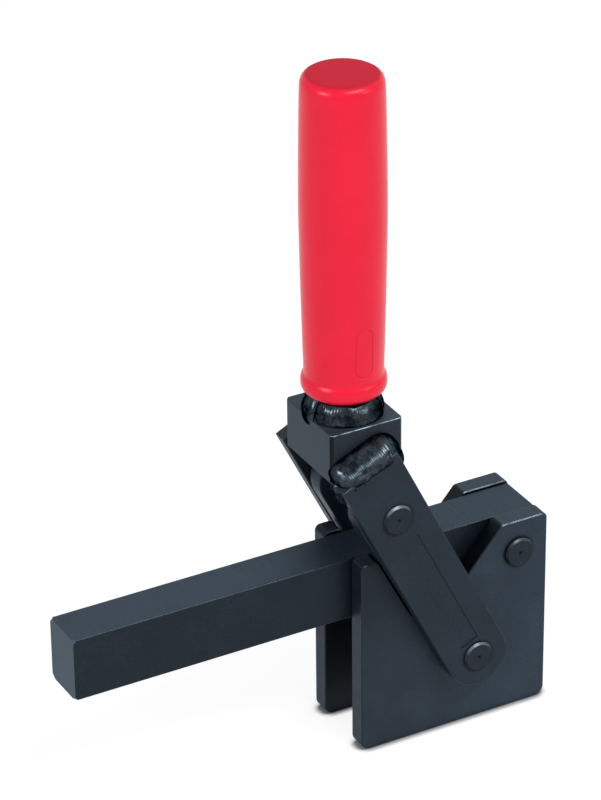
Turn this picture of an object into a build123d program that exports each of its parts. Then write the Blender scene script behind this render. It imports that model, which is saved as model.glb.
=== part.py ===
from build123d import *
import math
import os

# Heavy vertical toggle clamp for welding to a fixture: two side plates, a solid arm between
# them, a lever of two plates with a round grip, and two short links that lock the arm.
# X runs along the arm, which points towards -X. Y runs across the plates. Z is up.
# The origin is the middle of the base, on the surface that the side plates stand on.
# Left means -Y and right means +Y, as seen by someone behind the clamp facing along the arm.

os.makedirs("parts", exist_ok=True)

# Arm
arm_width = 25.0
arm_height = 33.5
arm_reach = 150.0            # ahead of the base's front edge
arm_tail = 15.0              # behind the arm's pivot
arm_edge_radius = 0.6
arm_turned_radius = 19.2     # of the turned bevel at the front end face

# Side plates
plate_thickness = 10.0
base_length = 106.0
base_height = 107.0
arm_side_gap = 1.0           # between the arm and each side plate
ear_rise = 1.0               # of the side plates' top over the arm's top
base_corner_radius = 5.0
top_corner_radius = 3.0
edge_break = 0.5

# Notch in the side plates' top edge, which the links lie in
notch_floor_gap = 4.0        # under the links' lower ends
notch_stop_gap = 0.8         # in front of the links, which stop there
notch_floor_back = 46.8      # back end of the floor, from the base's front edge
notch_back_angle = 49.2      # of the rear wall, from level
notch_floor_radius = 6.0
notch_mouth_radius = 3.0

# Pivots, measured back from the base's front edge and up from the floor
arm_pivot_back = 89.5
handle_pivot_back = 60.4
handle_pivot_height = 42.9
toggle_pin_back = 38.0

# Links
link_length = 51.5           # between its two pins
link_lean = 27.3             # forward from upright, when locked
link_thickness = 10.0
link_width = 33.0

# Handle plates
handle_plate_thickness = 8.0
handle_plate_width = 33.0
handle_plate_gap = 2.5       # between a side plate and a handle plate
handle_plate_top = 34.0      # beyond the links' upper pin
panel_length = 77.5
panel_width = 10.0
panel_depth = 0.5
panel_from_pivot = 10.5

# Pins
pin_radius = 8.0
pin_chamfer = 1.0
running_clearance = 0.05
face_clearance = 0.1
arm_pin_proud = 2.2
handle_pin_proud = 1.5
link_pin_proud = 1.2
toggle_pin_proud = 1.5
centre_drill_radius = 1.1
centre_drill_depth = 1.0

# Bushes, sleeves and washers
bush_wall = 2.0
sleeve_wall = 3.0
sleeve_clearance = 0.15
washer_radius = 14.0

# Handle block, pipe and grip
block_length = 39.5
block_width = 45.0
block_height = 26.0
block_drop = 0.4             # of its underside below the handle plates' front corners
block_overhang = 0.25        # of its front ahead of those corners
block_bevel = 1.4            # on its upright edges
pipe_radius = 13.45
pipe_wall = 3.2
grip_foot_gap = 11.4         # between the block and the grip
grip_length = 164.6
grip_foot_radius = 17.8
grip_collar_radius = 20.85
grip_collar_height = 3.5
grip_neck_radius = 19.35
grip_neck_height = 9.5
grip_palm_radius = 20.2
grip_palm_share = 0.27       # of the grip's length, from its foot
grip_belly_radius = 21.05
grip_belly_share = 0.6
grip_shoulder_radius = 20.0
grip_shoulder_drop = 4.6     # below the grip's top
grip_top_radius = 15.8
grip_crown = 0.5
grip_end_wall = 10.0
label_length = 26.6          # of the groove round the label place, over all
label_width = 9.9
label_groove = 1.0
label_depth = 0.35
label_height = 26.4          # of the label's middle over the grip's foot
label_turn = -89.0           # of the label about the grip, from +X

# Welds
ring_weld_width = 6.8
ring_weld_height = 10.8
ring_weld_swell = ((0.93, 0.36), (0.64, 0.71))   # of its face, as shares of its width and height
top_bead_leg = 10.0          # up the block, from the end of a handle plate
top_bead_bulge = 1.6
rear_bead_leg = 5.5
rear_bead_bulge = 0.7
corner_bead_radius = 3.0
corner_bead_length = 13.0    # down the front edge of a handle plate

# Places worked out from the sizes above
front = -base_length / 2
plate_inner = arm_width / 2 + arm_side_gap
plate_outer = plate_inner + plate_thickness
link_outer = plate_inner + link_thickness
handle_inner = max(plate_outer, link_outer) + handle_plate_gap
handle_outer = handle_inner + handle_plate_thickness

arm_level = base_height - ear_rise - arm_height / 2
arm_pivot = Vector(front + arm_pivot_back, 0, arm_level)
handle_pivot = Vector(front + handle_pivot_back, 0, handle_pivot_height)
toggle_pin = Vector(front + toggle_pin_back, 0, arm_level)
link_run = Vector(-math.sin(math.radians(link_lean)), 0, math.cos(math.radians(link_lean)))
link_pin = toggle_pin + link_run * link_length
handle_pin_distance = (link_pin - handle_pivot).length
lever = (link_pin - handle_pivot).normalized()
handle_lean = math.degrees(math.atan2(-lever.X, lever.Z))

level_lever = Vector(lever.Z, 0, -lever.X)
plate_end = handle_pivot + lever * (handle_pin_distance + handle_plate_top)
front_corner = plate_end - level_lever * (handle_plate_width / 2)
rear_corner = plate_end + level_lever * (handle_plate_width / 2)
block_bottom = front_corner.Z - block_drop
block_top = block_bottom + block_height
half_block = block_width / 2
grip_axis_x = front_corner.X - block_overhang + block_length / 2
grip_foot = block_top + grip_foot_gap
grip_label_radius = grip_neck_radius + 0.25
standing = (Align.CENTER, Align.CENTER, Align.MIN)


def across(centre, radius, y_low, y_high):
    """A round bar along Y through a centre, between two Y places."""
    bar = Cylinder(radius, y_high - y_low, align=standing)
    return Pos(centre.X, y_low, centre.Z) * Rot(-90, 0, 0) * bar


def on_side(outline, y_low, y_high):
    """A plate whose outline is drawn in X and Z, between two Y places."""
    return extrude(Pos(0, y_high, 0) * (Plane.XZ * outline), y_high - y_low)


def mirrored(shape):
    """The same piece on the other side of the clamp."""
    return mirror(shape, about=Plane.XZ)


def round_bar_between(first, second, width):
    """An outline with round ends about two centres, in X and Z."""
    run = second - first
    middle = (first + second) * 0.5
    tilt = math.degrees(math.atan2(run.Z, run.X))
    return Pos(middle.X, middle.Z) * Rot(0, 0, tilt) * SlotCenterToCenter(run.length, width)


def eased(shape, size):
    """Breaks every edge of a plate's two faces that runs round its outline."""
    low = shape.faces().sort_by(Axis.Y)[0]
    high = shape.faces().sort_by(Axis.Y)[-1]
    return chamfer(low.edges() + high.edges(), size)


def side_plate():
    """A side plate on the right, with the deep notch that the links lie in."""
    ahead = Vector(-link_run.Z, 0, link_run.X)
    stop = toggle_pin + ahead * (link_width / 2 + notch_stop_gap)
    floor = toggle_pin.Z - link_width / 2 - notch_floor_gap
    wall_x = lambda z: stop.X + (z - stop.Z) * link_run.X / link_run.Z
    rise = base_height - floor
    back_x = front + notch_floor_back
    mouth_back = back_x + rise / math.tan(math.radians(notch_back_angle))
    outline = make_face(Polyline(
        (front, 0),
        (-front, 0),
        (-front, base_height),
        (mouth_back, base_height),
        (back_x, floor),
        (wall_x(floor), floor),
        (wall_x(base_height), base_height),
        (front, base_height),
        close=True,
    ))
    corner = lambda x, z: outline.vertices().sort_by_distance((x, z, 0))[0]
    outline = fillet([corner(front, 0), corner(-front, 0)], base_corner_radius)
    outline = fillet([corner(front, base_height), corner(-front, base_height)], top_corner_radius)
    outline = fillet([corner(back_x, floor), corner(wall_x(floor), floor)], notch_floor_radius)
    outline = fillet(
        [corner(mouth_back, base_height), corner(wall_x(base_height), base_height)], notch_mouth_radius
    )
    plate = eased(on_side(outline, plate_inner, plate_outer), edge_break)
    plate -= across(arm_pivot, pin_radius, plate_inner, plate_outer)
    plate -= across(handle_pivot, pin_radius + bush_wall, plate_inner, plate_outer)
    return plate


def arm():
    """The solid arm: a bar with broken edges and a front end bevelled on a lathe."""
    start = front - arm_reach
    length = arm_pivot.X + arm_tail - start
    bar = Pos(start + length / 2, 0, arm_level) * Box(length, arm_width, arm_height)
    bar = fillet(bar.edges().filter_by(Axis.X), arm_edge_radius)
    cone_depth = math.hypot(arm_width, arm_height) / 2 - arm_turned_radius
    half_section = Polyline(
        (0, 0),
        (arm_turned_radius, 0),
        (arm_turned_radius + cone_depth, cone_depth),
        (arm_turned_radius + cone_depth, length),
        (0, length),
        close=True,
    )
    turned = revolve(Plane.XZ * make_face(half_section), Axis.Z)
    bar &= Pos(start, 0, arm_level) * Rot(0, 90, 0) * turned
    for place in (arm_pivot, toggle_pin):
        bar -= across(place, pin_radius + bush_wall, -arm_width / 2, arm_width / 2)
    return bar


def bush(centre, y_low, y_high):
    """A plain bush with room for a running pin."""
    ring = across(centre, pin_radius + bush_wall, y_low, y_high)
    return ring - across(centre, pin_radius + running_clearance, y_low, y_high)


def sleeve(centre, half_length):
    """A spacer sleeve round a pin, between two plates."""
    ring = across(centre, pin_radius + sleeve_clearance + sleeve_wall, -half_length, half_length)
    return ring - across(centre, pin_radius + sleeve_clearance, -half_length, half_length)


def washer(centre, y_low, y_high):
    """A flat washer round a pin."""
    ring = across(centre, washer_radius, y_low, y_high)
    return ring - across(centre, pin_radius + sleeve_clearance, y_low, y_high)


def pin(centre, y_low, y_high, drilled_low=True, drilled_high=True):
    """A plain pin with bevelled ends and a lathe centre mark in each end that shows."""
    length = y_high - y_low
    bar = Cylinder(pin_radius, length, align=standing)
    mark = Cone(centre_drill_radius, 0, centre_drill_depth, align=standing)
    if drilled_low:
        bar = chamfer(bar.edges().group_by(Axis.Z)[0], pin_chamfer) - mark
    if drilled_high:
        top_mark = Pos(0, 0, length) * Rot(180, 0, 0) * mark
        bar = chamfer(bar.edges().group_by(Axis.Z)[-1], pin_chamfer) - top_mark
    return Pos(centre.X, y_low, centre.Z) * Rot(-90, 0, 0) * bar


def link():
    """A toggle link on the right, round at both ends."""
    outline = round_bar_between(link_pin, toggle_pin, link_width)
    plate = eased(on_side(outline, plate_inner, link_outer), edge_break)
    plate -= across(link_pin, pin_radius + bush_wall, plate_inner, link_outer)
    plate -= across(toggle_pin, pin_radius, plate_inner, link_outer)
    return plate


def lever_frame(point):
    """Turns a sketch drawn with the handle plates upright to their locked lean about a point."""
    return Pos(point.X, point.Z) * Rot(0, 0, handle_lean)


def handle_plate(with_panel):
    """A handle plate on the right: a flat bar, round at its pivot and cut square at the block."""
    length = handle_pin_distance + handle_plate_top
    half = handle_plate_width / 2
    outline = Pos(0, length / 2) * Rectangle(handle_plate_width, length) + Circle(half)
    outline = lever_frame(handle_pivot) * outline
    plate = eased(on_side(outline, handle_inner, handle_outer), edge_break)
    for place in (handle_pivot, link_pin):
        plate -= across(place, pin_radius, handle_inner, handle_outer)
    if with_panel:
        panel = Pos(0, panel_from_pivot + panel_length / 2) * Rectangle(panel_width, panel_length)
        panel = lever_frame(handle_pivot) * panel
        plate -= on_side(panel, handle_outer - panel_depth, handle_outer)
    return plate


def block():
    """The block between the handle plates, which the grip's pipe stands on."""
    middle = (block_bottom + block_top) / 2
    body = Pos(grip_axis_x, 0, middle) * Box(block_length, block_width, block_height)
    return chamfer(body.edges().filter_by(Axis.Z), block_bevel)


def grip_pipe():
    """The pipe that the grip is pressed on."""
    length = grip_foot_gap + grip_length - grip_end_wall
    pipe = Cylinder(pipe_radius, length, align=standing)
    pipe -= Cylinder(pipe_radius - pipe_wall, length, align=standing)
    return Pos(grip_axis_x, 0, block_top) * pipe


def grip():
    """The moulded grip: a collar, a long swelling, a rounded end and a groove round its label place."""
    foot = Line((pipe_radius, 0), (grip_foot_radius, 0))
    widest = (grip_collar_radius, grip_collar_height)
    collar = TangentArc(widest, (grip_foot_radius, 0), tangent=(0, -1))
    collar += TangentArc(widest, (grip_neck_radius, grip_neck_height), tangent=(0, 1))
    side = Polyline(
        (grip_neck_radius, grip_neck_height),
        (grip_palm_radius, grip_length * grip_palm_share),
        (grip_belly_radius, grip_length * grip_belly_share),
        (grip_shoulder_radius, grip_length - grip_shoulder_drop),
    )
    shoulder = ThreePointArc(
        (grip_shoulder_radius, grip_length - grip_shoulder_drop),
        (grip_shoulder_radius - 1.2, grip_length - 1.7),
        (grip_top_radius, grip_length - grip_crown),
    )
    crown = Line((grip_top_radius, grip_length - grip_crown), (0, grip_length))
    bore_top = grip_length - grip_end_wall
    inside = Polyline((0, grip_length), (0, bore_top), (pipe_radius, bore_top), (pipe_radius, 0))
    profile = Plane.XZ * make_face(foot + collar + side + shoulder + crown + inside)
    body = Pos(grip_axis_x, 0, grip_foot) * revolve(profile, Axis.Z)
    capsule = SlotOverall(label_length, label_width, rotation=90)
    capsule -= SlotOverall(label_length - 2 * label_groove, label_width - 2 * label_groove, rotation=90)
    stamp = extrude(capsule, grip_belly_radius)
    stamp = Pos(0, 0, label_height) * Rot(0, 0, label_turn) * Rot(90, 0, 90) * stamp
    stamp -= Cylinder(grip_label_radius - label_depth, grip_length, align=standing)
    return body - Pos(grip_axis_x, 0, grip_foot) * stamp


def ring_weld():
    """The weld that runs round the foot of the grip's pipe."""
    shares = ((0, 0), (1, 0), *ring_weld_swell, (0, 1))
    corners = [(pipe_radius + out * ring_weld_width, up * ring_weld_height) for out, up in shares]
    profile = Plane.XZ * make_face(Polyline(*corners, close=True))
    return Pos(grip_axis_x, 0, block_top) * revolve(profile, Axis.Z)


def bead_section(leg_out, leg_up, bulge):
    """The section of a fillet weld: two legs at a right angle and a swelling face, at the origin."""
    face_length = math.hypot(leg_out, leg_up)
    swell = (leg_out / 2 + bulge * leg_up / face_length, leg_up / 2 + bulge * leg_out / face_length)
    legs = Line((0, leg_up), (0, 0)) + Line((0, 0), (leg_out, 0))
    return make_face(legs + ThreePointArc((leg_out, 0), swell, (0, leg_up)))


def over_block(weld):
    """Ends a weld at the block's front, rear and underside."""
    reach = Box(block_length, 4 * half_block, 2 * block_height, align=standing)
    return weld & Pos(grip_axis_x, 0, block_bottom) * reach


def top_bead():
    """The weld along the square end of the right handle plate, up the side of the block."""
    start = front_corner + level_lever * edge_break
    section = bead_section(handle_outer - edge_break - half_block, top_bead_leg, top_bead_bulge)
    plane = Plane(origin=(start.X, half_block, start.Z), x_dir=(0, 1, 0), z_dir=level_lever)
    return extrude(plane * section, handle_plate_width - 2 * edge_break)


def rear_bead():
    """The weld down the rear edge of the right handle plate, against the side of the block."""
    section = bead_section(rear_bead_leg, rear_bead_leg, rear_bead_bulge)
    plane = Plane(origin=(rear_corner.X, half_block, rear_corner.Z), x_dir=(0, 1, 0), z_dir=-lever)
    return extrude(plane * section, handle_plate_top)


def root_fill():
    """The weld metal between the right handle plate and the side of the block."""
    reach = handle_pin_distance + handle_plate_top / 2
    outline = Pos(0, reach) * Rectangle(handle_plate_width, handle_plate_top)
    return on_side(lever_frame(handle_pivot) * outline, half_block, handle_inner)


def corner_bead():
    """The weld that wraps round the front corner of the right handle plate, under the block."""
    middle = Pos(front_corner.X, (half_block + handle_inner) / 2, front_corner.Z)
    bead = Cylinder(corner_bead_radius, corner_bead_length, align=(Align.CENTER, Align.CENTER, Align.MAX))
    bead = chamfer(bead.edges().filter_by(GeomType.CIRCLE), corner_bead_radius / 2)
    return middle * Rot(0, -handle_lean, 0) * bead - handle_plate(with_panel=False) - block()


def plate_weld():
    """The whole weld that joins the right handle plate to the block."""
    return over_block(top_bead() + rear_bead() + root_fill()) + corner_bead()


def export_all(pieces):
    """Writes each piece to its own file, named after it."""
    for name, shape in pieces.items():
        solids = shape.solids()
        body = solids[0] if len(solids) == 1 else Compound(children=solids)
        export_step(body, f"parts/{name}.step")


half_gap = plate_inner - face_clearance
middle_half = half_gap - face_clearance
pieces = {
    "side_plate_right": side_plate(),
    "clamping_arm": arm(),
    "arm_pivot_pin": pin(arm_pivot, -plate_outer - arm_pin_proud, plate_outer + arm_pin_proud),
    "arm_pivot_bush": bush(arm_pivot, -arm_width / 2, arm_width / 2),
    "toggle_bush": bush(toggle_pin, -arm_width / 2, arm_width / 2),
    "toggle_pin_middle": pin(toggle_pin, -middle_half, middle_half, False, False),
    "toggle_pin_end_right": pin(toggle_pin, plate_inner, link_outer + toggle_pin_proud, False, True),
    "handle_pivot_pin": pin(handle_pivot, -handle_outer - handle_pin_proud, handle_outer + handle_pin_proud),
    "handle_pivot_bush_right": bush(handle_pivot, plate_inner, plate_outer),
    "handle_pivot_sleeve": sleeve(handle_pivot, plate_inner),
    "handle_pivot_washer_right": washer(handle_pivot, plate_outer + face_clearance, handle_inner),
    "link_right": link(),
    "link_bush_right": bush(link_pin, plate_inner, link_outer),
    "link_pin": pin(link_pin, -handle_outer - link_pin_proud, handle_outer + link_pin_proud),
    "link_pin_sleeve": sleeve(link_pin, half_gap),
    "link_washer_right": washer(link_pin, link_outer + face_clearance, handle_inner),
    "handle_plate_right": handle_plate(with_panel=False),
    "handle_block": block(),
    "grip_pipe": grip_pipe(),
    "hand_grip": grip(),
    "ring_weld": ring_weld(),
    "plate_weld_right": plate_weld(),
}
pieces["handle_plate_left"] = mirrored(handle_plate(with_panel=True))
for name in [name for name in pieces if name.endswith("_right")]:
    twin = name.replace("_right", "_left")
    if twin not in pieces:
        pieces[twin] = mirrored(pieces[name])
export_all(pieces)
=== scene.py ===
"""A heavy toggle clamp: side plates, solid arm, toggle links and an upright lever with a red grip.

The steel pieces keep the meshes of the frame and get their finishes here. The grip and the welds are
modelled here, over the solids that stand for them. Lengths are in metres.
"""
from __future__ import annotations

import logging
import math
from dataclasses import dataclass, field
from enum import Enum
from typing import Any, Iterable, Sequence

import bmesh
import bpy
import numpy as np
from mathutils import Matrix, Vector

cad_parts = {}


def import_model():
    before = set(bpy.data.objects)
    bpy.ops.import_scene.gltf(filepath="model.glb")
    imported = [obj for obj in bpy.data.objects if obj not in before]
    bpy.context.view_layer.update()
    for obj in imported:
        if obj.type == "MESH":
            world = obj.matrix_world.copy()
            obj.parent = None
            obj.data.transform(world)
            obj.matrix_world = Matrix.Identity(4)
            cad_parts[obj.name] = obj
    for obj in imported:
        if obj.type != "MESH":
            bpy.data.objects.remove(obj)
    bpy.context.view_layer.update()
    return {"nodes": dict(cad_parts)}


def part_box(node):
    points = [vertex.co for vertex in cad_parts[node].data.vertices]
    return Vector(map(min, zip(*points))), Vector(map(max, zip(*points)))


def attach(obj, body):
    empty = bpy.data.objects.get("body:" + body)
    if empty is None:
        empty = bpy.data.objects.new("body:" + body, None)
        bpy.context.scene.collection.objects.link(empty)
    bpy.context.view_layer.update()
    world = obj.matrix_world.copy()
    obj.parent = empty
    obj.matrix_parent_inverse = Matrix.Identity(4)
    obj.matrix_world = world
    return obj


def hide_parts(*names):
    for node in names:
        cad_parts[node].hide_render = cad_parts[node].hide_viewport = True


MM = 0.001
Colour = tuple[float, float, float]
Point = tuple[float, float, float]

log = logging.getLogger("toggle_clamp")


class Signal:
    """A shader socket that takes part in Python expressions, each of which adds its Math node."""

    def __init__(self, paint: Paint, socket: bpy.types.NodeSocket) -> None:
        """Keeps the socket and the paint whose tree it is in.

        Args:
            paint: The paint that owns the node tree.
            socket: The output socket that this signal reads.
        """
        self.paint = paint
        self.socket = socket

    def math(self, operation: str, *others: Signal | float) -> Signal:
        """Adds one Math node with this signal as its first input.

        Args:
            operation: The Math node's operation.
            *others: The further inputs, as signals or numbers.

        Returns:
            The node's result.
        """
        values = {index: value for index, value in enumerate((self, *others))}
        return self.paint.node("ShaderNodeMath", {"operation": operation}, values)

    def __add__(self, other: Signal | float) -> Signal:
        """The sum."""
        return self.math("ADD", other)

    __radd__ = __add__

    def __mul__(self, other: Signal | float) -> Signal:
        """The product."""
        return self.math("MULTIPLY", other)

    __rmul__ = __mul__

    def __sub__(self, other: Signal | float) -> Signal:
        """The difference."""
        return self.math("SUBTRACT", other)

    def __rsub__(self, other: float) -> Signal:
        """The difference from a number."""
        return self.paint.node("ShaderNodeMath", {"operation": "SUBTRACT"}, {0: other, 1: self})

    def __truediv__(self, other: Signal | float) -> Signal:
        """The quotient."""
        return self.math("DIVIDE", other)

    def __pow__(self, other: float) -> Signal:
        """The power."""
        return self.math("POWER", other)

    def __abs__(self) -> Signal:
        """The size without its sign."""
        return self.math("ABSOLUTE")

    def ramp(self, low: float, high: float) -> Signal:
        """A smooth step between two levels.

        Args:
            low: Where the step starts from 0.
            high: Where it reaches 1. It may lie below low, for a falling step.

        Returns:
            The step, from 0 to 1.
        """
        first, last = (low, high) if low < high else (high, low)
        limits = {"Value": self, "From Min": first, "From Max": last}
        step = self.paint.node("ShaderNodeMapRange", {"interpolation_type": "SMOOTHSTEP"}, limits)
        return step if low < high else 1 - step


class Paint:
    """One material under construction."""

    def __init__(self, name: str) -> None:
        """Makes an empty material.

        Args:
            name: The material's name.
        """
        self.material = bpy.data.materials.new(name)
        self.material.use_nodes = True
        self.tree = self.material.node_tree
        self.tree.nodes.clear()

    def node(
        self,
        kind: str,
        settings: dict[str, Any] | None = None,
        inputs: dict[str | int, Any] | None = None,
        output: str | int = 0,
    ) -> Signal:
        """Adds one node, sets it up and fills its sockets.

        Args:
            kind: The node's type.
            settings: Values of the node's own settings, which are set first.
            inputs: Values or signals for its sockets, by name or place.
            output: The output to read, by name or place.

        Returns:
            The chosen output.
        """
        node = self.tree.nodes.new(kind)
        for key, value in (settings or {}).items():
            setattr(node, key, value)
        for key, value in (inputs or {}).items():
            if isinstance(value, Signal):
                self.tree.links.new(value.socket, node.inputs[key])
            else:
                node.inputs[key].default_value = value
        return Signal(self, node.outputs[output]) if len(node.outputs) else Signal(self, None)

    def place(self) -> Signal:
        """The point on the piece, in the frame's metres."""
        return self.node("ShaderNodeTexCoord", output="Object")

    def normal(self) -> Signal:
        """The way that the surface faces, before any relief."""
        return self.node("ShaderNodeTexCoord", output="Normal")

    def facing(self) -> tuple[Signal, Signal, Signal]:
        """How far the surface faces along each axis, without signs."""
        return tuple(abs(part) for part in self.parts(self.normal()))

    def looking_up(self) -> Signal:
        """How far the surface faces upwards, less than 0 where it faces down."""
        return self.parts(self.normal())[2]

    def parts(self, vector: Signal) -> tuple[Signal, Signal, Signal]:
        """A vector's three numbers."""
        split = self.node("ShaderNodeSeparateXYZ", inputs={0: vector}).socket.node
        return tuple(Signal(self, split.outputs[index]) for index in range(3))

    def scaled(self, vector: Signal, factors: Point) -> Signal:
        """A vector stretched along the axes.

        Args:
            vector: The vector to stretch.
            factors: One factor for each axis.

        Returns:
            The stretched vector.
        """
        return self.node("ShaderNodeVectorMath", {"operation": "MULTIPLY"}, {0: vector, 1: factors})

    def noise(self, at: Signal, scale: float, detail: float = 3.0, roughness: float = 0.55) -> Signal:
        """Smooth noise from 0 to 1.

        Args:
            at: Where the noise is read.
            scale: Features for each metre.
            detail: How many finer layers are added.
            roughness: How strong those layers are.

        Returns:
            The noise.
        """
        values = {"Vector": at, "Scale": scale, "Detail": detail, "Roughness": roughness}
        return self.node("ShaderNodeTexNoise", {"noise_dimensions": "3D"}, values, "Fac")

    def blend(self, share: Signal, first: Colour | Signal, second: Colour | Signal) -> Signal:
        """A mix of two colours.

        Args:
            share: The share of the second colour.
            first: The first colour.
            second: The second colour.

        Returns:
            The mixed colour.
        """
        ends = [end if isinstance(end, Signal) else (*end, 1.0) for end in (first, second)]
        return self.node("ShaderNodeMix", {"data_type": "RGBA"}, {0: share, 6: ends[0], 7: ends[1]}, 2)

    def relief(self, height: Signal, depth: float, under: Signal | None = None) -> Signal:
        """A bumped normal.

        Args:
            height: The relief, from 0 to 1.
            depth: The height of 1, in metres.
            under: A normal that this relief lies on.

        Returns:
            The normal.
        """
        values: dict[str | int, Any] = {"Height": height, "Distance": depth, "Strength": 1.0}
        if under is not None:
            values["Normal"] = under
        return self.node("ShaderNodeBump", inputs=values)

    def coat(self, **sockets: Any) -> bpy.types.Material:
        """Ends the material with the main shader.

        Args:
            **sockets: The shader's sockets, with _ for a space in their names.

        Returns:
            The finished material.
        """
        values = {name.replace("_", " "): value for name, value in sockets.items()}
        shader = self.node("ShaderNodeBsdfPrincipled", inputs=values)
        self.node("ShaderNodeOutputMaterial", inputs={"Surface": shader})
        return self.material


class EdgeKind(Enum):
    """Which bevels of a piece show rubbed edges with a painted highlight."""

    FLAT_PLATE = "bevels round the two faces across Y"
    LONG_BAR = "rounded edges along X"
    UPRIGHT_BLOCK = "bevelled upright edges"


@dataclass(frozen=True)
class BlackenedSteel:
    """Steel under a satin blue-black oxide, ground on its faces and sawn on its narrow sides, with painted light and
    shade.
    """

    name: str
    edges: EdgeKind = EdgeKind.FLAT_PLATE
    oxide: Colour = (0.0215, 0.0330, 0.0470)
    # painted light and shade: a lightness factor for faces looking along X, Y and Z
    facing_shading: Point = (1.0, 1.0, 1.0)
    # colour of the rubbed bevels, partly a painted highlight
    worn_and_highlight: Colour = (0.11, 0.14, 0.17)
    sheen: Colour = (0.72, 0.86, 1.0)
    metal_share: float = 0.45
    roughness: float = 0.44
    streak_axis: str = "Y"
    cut_face_shade: float = 0.0
    # painted shade on the inner faces, round the pins and at the front top corner, and painted light towards the rear
    shaded_inner_face: float = 0.0
    rear_light_gain: float = 0.0
    front_shade: float = 0.0
    pins: tuple[Point, ...] = ()
    pin_radius: float = 8.0 * MM

    def edge_mask(self, paint: Paint) -> Signal:
        """Where the piece's rubbed bevels with their painted highlight are; on flat plates only those that face
        upwards.

        Args:
            paint: The paint that the mask is for.

        Returns:
            1 on the bevels and 0 on the faces.
        """
        x, y, z = paint.facing()
        if self.edges is EdgeKind.FLAT_PLATE:
            # only upward-facing bevels, where the highlight falls: rubbing and a painted highlight
            return y.ramp(0.3, 0.5) * y.ramp(0.95, 0.85) * paint.looking_up().ramp(0.58, 0.69)
        return (y * z).ramp(0.12, 0.35)

    def painted_shading(self, paint: Paint, place: Signal, y_facing: Signal) -> Signal:
        """The painted light and shade on the broad faces: painted shade in the gap on the inner faces, round the pins
        and at the front top corner, and painted light towards the rear.

        Args:
            paint: The paint that the factor is for.
            place: The point on the piece.
            y_facing: How far the surface faces across the plates.

        Returns:
            The factor for the oxide's lightness.
        """
        x, y, z = paint.parts(place)
        broad = y_facing.ramp(0.6, 0.9)
        # painted shade at the front top corner and painted light rising towards the rear
        front_top = x.ramp(-15.0 * MM, -50.0 * MM) * z.ramp(35.0 * MM, 80.0 * MM) * broad
        factor = 1 + x * broad * (self.rear_light_gain / (53.0 * MM)) - front_top * self.front_shade
        # painted shade on the inner faces, in the gap next to the arm
        if self.shaded_inner_face:
            inner = abs(y).ramp(self.shaded_inner_face + 2.0 * MM, self.shaded_inner_face + 1.0 * MM) * broad
            factor = factor * (1 - inner * 0.8)
        # painted shade: a dark ring round each pin
        for pin in self.pins:
            spoke = paint.node("ShaderNodeVectorMath", {"operation": "SUBTRACT"}, {0: place, 1: pin})
            across, _, up = paint.parts(spoke)
            radius = (across * across + up * up) ** 0.5
            ring = radius.ramp(self.pin_radius + 1.8 * MM, self.pin_radius + 0.1 * MM)
            factor = factor * (1 - ring * broad * 0.55)
        return factor

    def build(self) -> bpy.types.Material:
        """Makes the material: mottled oxide, fine grain, saw streaks on the sides, painted light and shade by the way
        each face looks and on the cut faces, and rubbed bevels with a painted highlight.
        """
        paint = Paint(self.name)
        place = paint.place()
        clouds = paint.noise(place, 38.0, 4.0, 0.6)
        speckle = paint.noise(place, 1150.0, 2.0, 0.6)
        fine = paint.noise(place, 4200.0, 1.0)
        across = {"Y": (900.0, 35.0, 900.0), "X": (30.0, 1100.0, 1100.0), "Z": (1100.0, 1100.0, 30.0)}
        streaks = paint.noise(paint.scaled(place, across[self.streak_axis]), 1.0, 2.0, 0.6)
        x_facing, y_facing, z_facing = paint.facing()
        side = y_facing.ramp(0.6, 0.35)
        # rubbed bevels, lighter, partly a painted highlight
        wear_and_highlight = self.edge_mask(paint) * paint.noise(place, 160.0, 3.0).ramp(0.25, 0.55)
        tone = clouds * 0.42 + speckle * 0.48 + streaks * side * 0.5
        # painted light and shade: each way a face looks gets its own lightness
        lightness = x_facing**2 * self.facing_shading[0] + y_facing**2 * self.facing_shading[1] + z_facing**2 * self.facing_shading[2]
        lightness = lightness * (tone.ramp(0.32, 0.8) * 0.7 + 0.66)
        # painted shade: faces cut on a slant, the notch slopes and the block's bevelled upright edges, are darkened
        cut = x_facing * (y_facing if self.edges is EdgeKind.UPRIGHT_BLOCK else z_facing)
        sooty = cut.ramp(0.2, 0.4) * self.cut_face_shade
        lightness = lightness * (1 - sooty) * self.painted_shading(paint, place, y_facing)
        oxide = paint.node("ShaderNodeVectorMath", {"operation": "SCALE"}, {0: self.oxide, "Scale": lightness})
        colour = paint.blend(wear_and_highlight * 0.85, oxide, self.worn_and_highlight)
        rough = clouds * 0.14 + speckle * 0.1 + streaks * side * 0.12 + (self.roughness - 0.16)
        grain = speckle * 0.6 + fine * 0.4
        under = paint.relief(grain, 0.11 * MM)
        normal = paint.relief(streaks * side, 0.05 * MM, under)
        return paint.coat(
            Base_Color=colour,
            Metallic=self.metal_share,
            Roughness=rough - wear_and_highlight * 0.12,
            Specular_IOR_Level=0.25,
            Specular_Tint=(*self.sheen, 1.0),
            Normal=normal,
        )


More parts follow.
